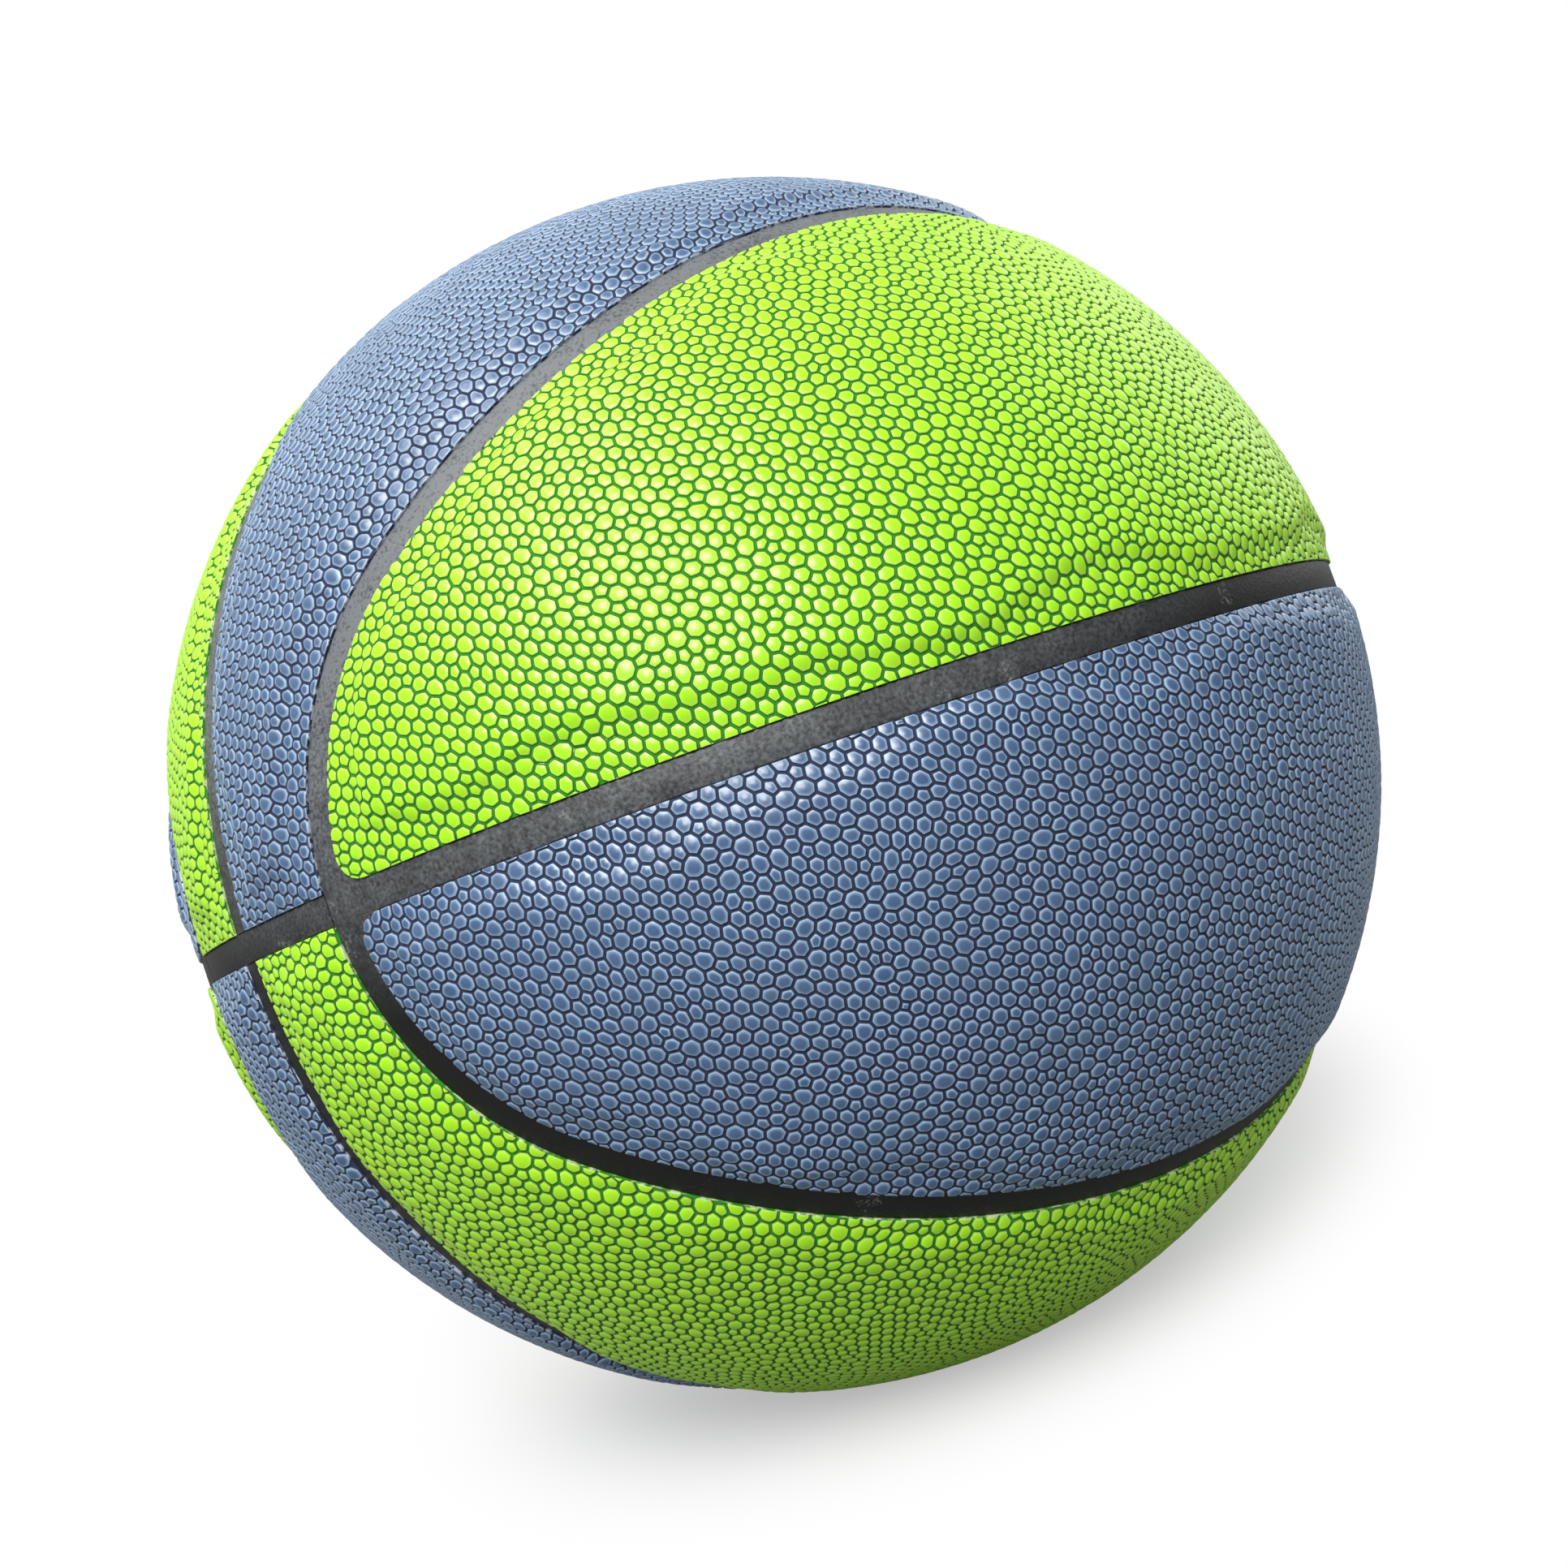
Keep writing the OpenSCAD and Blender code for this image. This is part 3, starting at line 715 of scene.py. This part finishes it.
def trimmed(form, with_valve, flip):
    """The cells of one panel, cut at its edges: the corners' directions in the
    quarter with x and z above zero, the corners of each cell, and those of the
    scraps that are too small for a pebble."""
    points = knots * flip
    known = {}
    extra, found, scraps = [], [], []

    def corner(key, make):
        """The number of a new corner, which is made once for all its cells."""
        if key not in known:
            known[key] = len(points) + len(extra)
            extra.append(make())
        return known[key]

    def at(k):
        return points[k] if k < len(points) else extra[k - len(points)]

    def cut_cell(n, rule, cell, far):
        """What rule n leaves of a cell, with a new corner at each end of the cut
        and one at its middle."""
        kept, ends = [], []
        for k, q in enumerate(cell):
            r, dq, dr = cell[(k + 1) % len(cell)], far[k], far[(k + 1) % len(cell)]
            if dq > 0:
                kept.append(q)
            if (dq > 0) != (dr > 0):
                a, b, da, db = (q, r, dq, dr) if q < r else (r, q, dr, dq)
                kept.append(corner((n, a, b), lambda: cut_point(rule, at(a), at(b), da, db)))
                ends.append(len(kept) - 1)
        if len(ends) == 2:
            i = max(ends) if ends == [0, len(kept) - 1] else min(ends)
            a, b = kept[i], kept[(i + 1) % len(kept)]
            mid = on_edge(rule, unit(at(a) + at(b)), at(b) - at(a))
            kept.insert(i + 1, corner((n, "mid", a, b), lambda: mid))
        return kept

    tests = rules(form, with_valve)
    depth = np.array([rule(points) for rule in tests])
    low = np.array([np.minimum.reduceat(d[corners], starts) for d in depth])
    high = np.array([np.maximum.reduceat(d[corners], starts) for d in depth])
    whole = (low > 0).all(axis=0)
    across = (high > 0).all(axis=0) & ~whole
    for c in np.flatnonzero(whole):
        found.append(list(corners[starts[c]:starts[c] + counts[c]]))
    for c in np.flatnonzero(across):
        cell = list(corners[starts[c]:starts[c] + counts[c]])
        for n, rule in enumerate(tests):
            far = [float(depth[n, k]) if k < len(points) else float(rule(at(k))) for k in cell]
            if cell and min(far) <= 0:
                cell = cut_cell(n, rule, cell, far)
        if len(cell) > 2:
            ring = np.array([at(k) for k in cell])
            area = np.linalg.norm(np.cross(ring, np.roll(ring, -1, axis=0)).sum(axis=0)) / 2
            (found if area * BALL_R ** 2 > SLIVER else scraps).append(cell)
    return np.concatenate([points, np.array(extra).reshape(-1, 3)]), found, scraps


def raised(p, form, level, height):
    """Places a direction at a height in mm over the puffed face of the panel,
    whose slope puckers in waves of about 28 to 38 mm."""
    depth = inset(form, p)
    spot = p * BALL_R
    wander = PUCKER * sum(np.sin(spot @ np.array(turn) + phase) for turn, phase in PUCKERS)
    near = np.clip(depth / LIP_W[level], 0, 1)
    climb = np.clip((depth - LIP_W[level] - wander * near) / ROLL_W[level], 0, 1)
    climb = climb * climb * (3 - 2 * climb)
    face = EDGE_R + LIP_RISE * near + (BALL_R - EDGE_R - LIP_RISE) * climb
    return p * (face + height)[..., None]


def sides(cell):
    """The pairs of corners at the ends of a cell's sides."""
    return zip(cell, cell[1:] + cell[:1])


def ring_inside(flat, cut, gap):
    """A ring of each pebble, gap mm in from its sides, but not from those that
    the die cut. On small pebbles it comes in less."""
    along = np.roll(flat, -1, axis=1) - flat
    length = np.linalg.norm(along, axis=-1, keepdims=True) + 1e-9
    inward = np.stack([-along[..., 1], along[..., 0]], axis=-1) / length
    reach = -np.einsum("knc,knc->kn", inward, flat)
    room = np.where(cut, np.inf, reach).min(axis=1)
    gaps = np.where(cut, 0.0, np.minimum(gap, SMALL_TOP * room * gap / PEBBLE_TOP[0])[:, None])
    before, last = np.roll(gaps, 1, axis=1), np.roll(inward, 1, axis=1)
    cross = last[..., 0] * inward[..., 1] - last[..., 1] * inward[..., 0]
    straight = np.abs(cross) < 0.2
    safe = np.where(straight, 1.0, cross)
    move = np.stack([(before * inward[..., 1] - gaps * last[..., 1]) / safe,
                     (gaps * last[..., 0] - before * inward[..., 0]) / safe], axis=-1)
    mean = (before + gaps)[..., None] / 2 * unit(last + inward + 1e-9)
    move = np.where(straight[..., None], mean, move)
    most = CORNER_MOST * np.linalg.norm(flat, axis=-1, keepdims=True)
    return flat + move * np.minimum(1, most / (np.linalg.norm(move, axis=-1, keepdims=True) + 1e-9))


def rounded(ring, at_cut):
    """A ring of each pebble with two points in place of each corner."""
    share = np.where(at_cut, DIE_CORNER, CORNER_CUT)[..., None]
    pair = [ring + (np.roll(ring, step, axis=1) - ring) * share for step in (1, -1)]
    return np.stack(pair, axis=2).reshape(len(ring), -1, 2)


def cover(form, level, points, cells, scraps):
    """The skin of a panel: its places in mm and their marks, its faces, and the
    number of its first border face. The marks are how far up its pebble a place
    is, the pebble's chance number, whether the die cut it, and where it faces."""
    pieces = cells + scraps
    uses = Counter(frozenset(side) for cell in pieces for side in sides(cell))
    rims = [side for cell in pieces for side in sides(cell) if uses[frozenset(side)] == 1]
    on_rim = {k for rim in rims for k in rim}
    used = sorted({k for cell in pieces for k in cell})
    renumber = {k: i for i, k in enumerate(used)}
    base = points[used]
    base_cut = np.array([k in on_rim for k in used])[:, None]
    dice = np.random.default_rng(TONE_SEED)
    made = {name: [] for name in ("place", "grain", "chance", "cut", "facing")}

    def put(place, grain, chance, cut, facing=0.0):
        """Adds places, pebble by pebble, with their marks and returns their numbers."""
        shape = place.shape[:2]
        first = sum(len(part) for part in made["place"])
        made["place"].append(place.reshape(-1, 3))
        for name, value in (("grain", grain), ("chance", chance[:, None]), ("cut", cut)):
            made[name].append(np.broadcast_to(value, shape).astype(float).ravel())
        made["facing"].append(np.broadcast_to(facing, place.shape).reshape(-1, 3))
        return first + np.arange(shape[0] * shape[1]).reshape(shape)

    valleys = raised(base, form, level, np.full(len(base), -VALLEY_DEPTH))
    put(valleys[:, None], 0.0, dice.random(len(base)), base_cut)
    faces = [[renumber[k] for k in cell] for cell in scraps]
    for n in sorted({len(cell) for cell in cells}):
        group = [cell for cell in cells if len(cell) == n]
        ring = np.array([[renumber[k] for k in cell] for cell in group])
        cut = np.array([[uses[frozenset(side)] == 1 for side in sides(cell)] for cell in group])
        # each pebble is drawn flat, in its own plane
        middle = unit(base[ring].sum(axis=1))
        east = unit(np.cross((0.1, 0.2, 1.0), middle))
        north = np.cross(middle, east)
        flat = np.stack([np.einsum("knc,kc->kn", base[ring], east),
                         np.einsum("knc,kc->kn", base[ring], north)], axis=-1) * BALL_R
        offset = flat.mean(axis=1, keepdims=True)
        flat = flat - offset
        length = np.linalg.norm(np.roll(flat, -1, axis=1) - flat, axis=-1)
        cut &= ((length * cut).sum(axis=1) > CUT_LEAST)[:, None]
        tone = dice.random(len(group))
        lift = (dice.random(len(group)) - 0.5) * PEBBLE_LIFT
        tilt = (dice.random((len(group), 2)) - 0.5) * PEBBLE_TILT

        def on_panel(spot, height, part):
            """Places of points that are given in each pebble's own plane."""
            across = spot + offset
            p = unit(middle[:, None] * BALL_R + across[..., :1] * east[:, None]
                     + across[..., 1:] * north[:, None])
            slope = np.einsum("knc,kc->kn", spot, tilt)
            return raised(p, form, level, height + (lift[:, None] + slope) * part)

        at_cut = cut | np.roll(cut, 1, axis=1)
        frayed = np.stack([np.roll(cut, 1, axis=1), cut], axis=2).reshape(len(group), -1)
        rim = rounded(ring_inside(flat, cut, PEBBLE_TOP[0]), at_cut)
        side = put(on_panel(ring_inside(flat, cut, PEBBLE_SIDE[0]), PEBBLE_SIDE[1], UP_SIDE),
                   UP_SIDE, tone, at_cut)
        # a top's own direction, leaning outward at its rim, so that it is shaded as a low dome
        place = on_panel(rim, PEBBLE_TOP[1], UP_RIM)
        around = place - place.mean(axis=1, keepdims=True)
        upright = unit(np.cross(around, np.roll(around, -1, axis=1)).sum(axis=1))[:, None]
        top = put(place, UP_RIM, tone, frayed, unit(upright + PEBBLE_ROUND * unit(around)))
        crown = put(on_panel(rim.mean(axis=1, keepdims=True), PEBBLE_CROWN, UP_CROWN),
                    UP_CROWN, tone, False, upright)[:, 0]
        for k in range(n):
            a, b = ring[:, k], ring[:, (k + 1) % n]
            c, d = side[:, k], side[:, (k + 1) % n]
            e, f, g = top[:, 2 * k], top[:, 2 * k + 1], top[:, (2 * k + 2) % (2 * n)]
            faces += np.stack([a, b, d, c], axis=1).tolist()
            faces += np.stack([c, f, e], axis=1).tolist()
            faces += np.stack([c, d, g, f], axis=1).tolist()
        for k in range(2 * n):
            faces += np.stack([top[:, k], top[:, (k + 1) % (2 * n)], crown], axis=1).tolist()

    # underside: the same cells, down to the carcass at the border and up over the foam
    under = np.where(inset(form, base) > FOAM_INSET, BALL_R - LEATHER_T, BED_R)
    low = int(put((base * under[:, None])[:, None], UP_SIDE, np.zeros(len(base)), base_cut)[0, 0])
    faces += [[low + renumber[k] for k in reversed(cell)] for cell in pieces]
    walls = len(faces)
    faces += [[renumber[b], renumber[a], low + renumber[a], low + renumber[b]] for a, b in rims]
    return {name: np.concatenate(parts) for name, parts in made.items()}, faces, walls


def leather(name, skin, rim, line, valley, warm, edge, ior):
    """Embossed composite leather. A place's height on its pebble picks its tone,
    from valley and line up to rim and skin. Soil and chance add some of the warm
    tone, and a frayed cut shows the edge tone."""
    material, tree = new_material(name)
    where = add(tree, "ShaderNodeTexCoord").outputs["Object"]
    grain, chance, cut = (add(tree, "ShaderNodeAttribute", attribute_name=mark).outputs["Fac"]
                          for mark in ("grain", "chance", "cut"))
    fine = add(tree, "ShaderNodeTexNoise", {"Vector": where, "Scale": 1 / (SKIN_GRAIN * MM),
                                            "Detail": 3.0})
    fray = add(tree, "ShaderNodeTexNoise", {"Vector": where, "Scale": 1 / (FRAY_GRAIN * MM),
                                            "Detail": 4.0})
    soil = add(tree, "ShaderNodeTexNoise", {"Vector": where, "Scale": 1 / (SOIL_PATCH * MM),
                                            "Detail": 5.0, "Roughness": 0.6})
    # the pale rim tone is partly a painted highlight on the pebbles' bevels, and the dark line tone
    # on their walls partly painted shade in the creases
    ramp = add(tree, "ShaderNodeValToRGB", {0: grain})
    stops = ((0.0, valley), (0.3, valley), (0.5, line), (0.6, line), (0.86, rim), (0.94, skin))
    colours = ramp.color_ramp.elements
    while len(colours) < len(stops):
        colours.new(0.5)
    for stop, (place, code) in zip(colours, stops):
        stop.position = place
        stop.color = rgb(code)
    drift = add(tree, "ShaderNodeMapRange", {"Value": soil.outputs["Fac"], "From Min": 0.4,
                                             "From Max": 0.72, "To Max": 0.35})
    each = add(tree, "ShaderNodeMapRange", {"Value": chance, "To Min": 0.0, "To Max": 0.3})
    share = add(tree, "ShaderNodeMath", {0: drift.outputs[0], 1: each.outputs[0]},
                operation="ADD")
    high = add(tree, "ShaderNodeMapRange", {"Value": grain, "From Min": 0.6,
                                            "From Max": 0.86})
    share = add(tree, "ShaderNodeMath", {0: share.outputs[0], 1: high.outputs[0]},
                operation="MULTIPLY")
    tone = add(tree, "ShaderNodeMix", {0: share.outputs[0], 6: ramp.outputs[0], 7: rgb(warm)},
               data_type="RGBA")
    frayed = add(tree, "ShaderNodeMath", {0: fray.outputs["Fac"], 1: FRAY_SWING, 2: cut},
                 operation="MULTIPLY_ADD")
    frayed = add(tree, "ShaderNodeMapRange", {"Value": frayed.outputs[0],
                                              "From Min": FRAY_RIM[0], "From Max": FRAY_RIM[1]})
    tone = add(tree, "ShaderNodeMix", {0: frayed.outputs[0], 6: tone.outputs[2], 7: rgb(edge)},
               data_type="RGBA")
    gloss = add(tree, "ShaderNodeMapRange", {"Value": soil.outputs["Fac"],
                                             "To Min": TOP_GLOSS[0], "To Max": TOP_GLOSS[1]})
    gloss = add(tree, "ShaderNodeMix", {0: high.outputs[0], 2: VALLEY_GLOSS,
                                        3: gloss.outputs[0]})
    bump = add(tree, "ShaderNodeBump", {"Height": fine.outputs["Fac"], "Strength": 0.5,
                                        "Distance": 0.05 * MM})
    shader = add(tree, "ShaderNodeBsdfPrincipled", {
        "Base Color": tone.outputs[2], "Roughness": gloss.outputs[0],
        "Normal": bump.outputs[0], "IOR": ior})
    add(tree, "ShaderNodeOutputMaterial", {"Surface": shader.outputs[0]})
    return material


# Embossed polyurethane leather, dyed through: satin pebbles with pale rims,
# partly rubbed wear and partly a painted highlight, dark valleys whose walls
# are darkest, partly the darker base and partly painted shade in the creases,
# and a pale cut edge where the die went through
green = leather("embossed_leather_green", "#9fe800", "#c6f45c", "#165c00", "#248400",
                "#aee40c", "#c6de9e", 1.6)
blue = leather("embossed_leather_blue", "#375781", "#b0cde8", "#06183c", "#0a1c40",
               "#526a88", "#bcc6d6", 1.75)
SKINS = {"right_cap_upper": green, "right_cap_lower": blue, "right_band_upper": blue,
         "right_band_lower": green, "left_band_upper": green, "left_band_lower": blue,
         "left_cap_upper": blue, "left_cap_lower": green}
# the net's cells all run the same way round, seen from outside
first = knots[corners[starts[0]:starts[0] + counts[0]]]
outward = np.cross(first, np.roll(first, -1, axis=0)).sum(axis=0) @ first.mean(axis=0) > 0
for side, form, level in QUARTERS:
    quarter = "_".join((side, form, level))
    # each panel is made in the quarter with x and z above zero, and mirrored into its own
    flip = np.array([1 if side == "right" else -1, 1, 1 if level == "upper" else -1])
    odd = flip.prod() < 0
    points, cells, scraps = trimmed(form, quarter == VALVE_PANEL, flip)
    if odd == outward:
        cells, scraps = ([cell[::-1] for cell in part] for part in (cells, scraps))
    made, faces, walls = cover(form, level, points, cells, scraps)
    if odd:
        faces = [face[::-1] for face in faces]
    mesh = bpy.data.meshes.new("cover_" + quarter)
    mesh.from_pydata(made["place"] * flip * MM, [], faces)
    for name in ("grain", "chance", "cut"):
        mesh.attributes.new(name, "FLOAT", "POINT").data.foreach_set("value", made[name])
    mesh.polygons.foreach_set("use_smooth", [True] * len(mesh.polygons))
    mesh.set_sharp_from_angle(angle=PEBBLE_SHARP)
    spin = np.empty(len(mesh.loops) * 3)
    mesh.corner_normals.foreach_get("vector", spin)
    at = np.empty(len(mesh.loops), int)
    mesh.loops.foreach_get("vertex_index", at)
    facing = (made["facing"] * flip)[at]
    facing[mesh.polygons[walls].loop_start:] = 0
    shaded = np.abs(facing).sum(axis=1, keepdims=True) > 0
    mesh.normals_split_custom_set(np.where(shaded, facing, spin.reshape(-1, 3)))
    piece = new_piece("cover_" + quarter, mesh, SKINS[quarter])
    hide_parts("panel_" + quarter)
    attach(piece, "root")
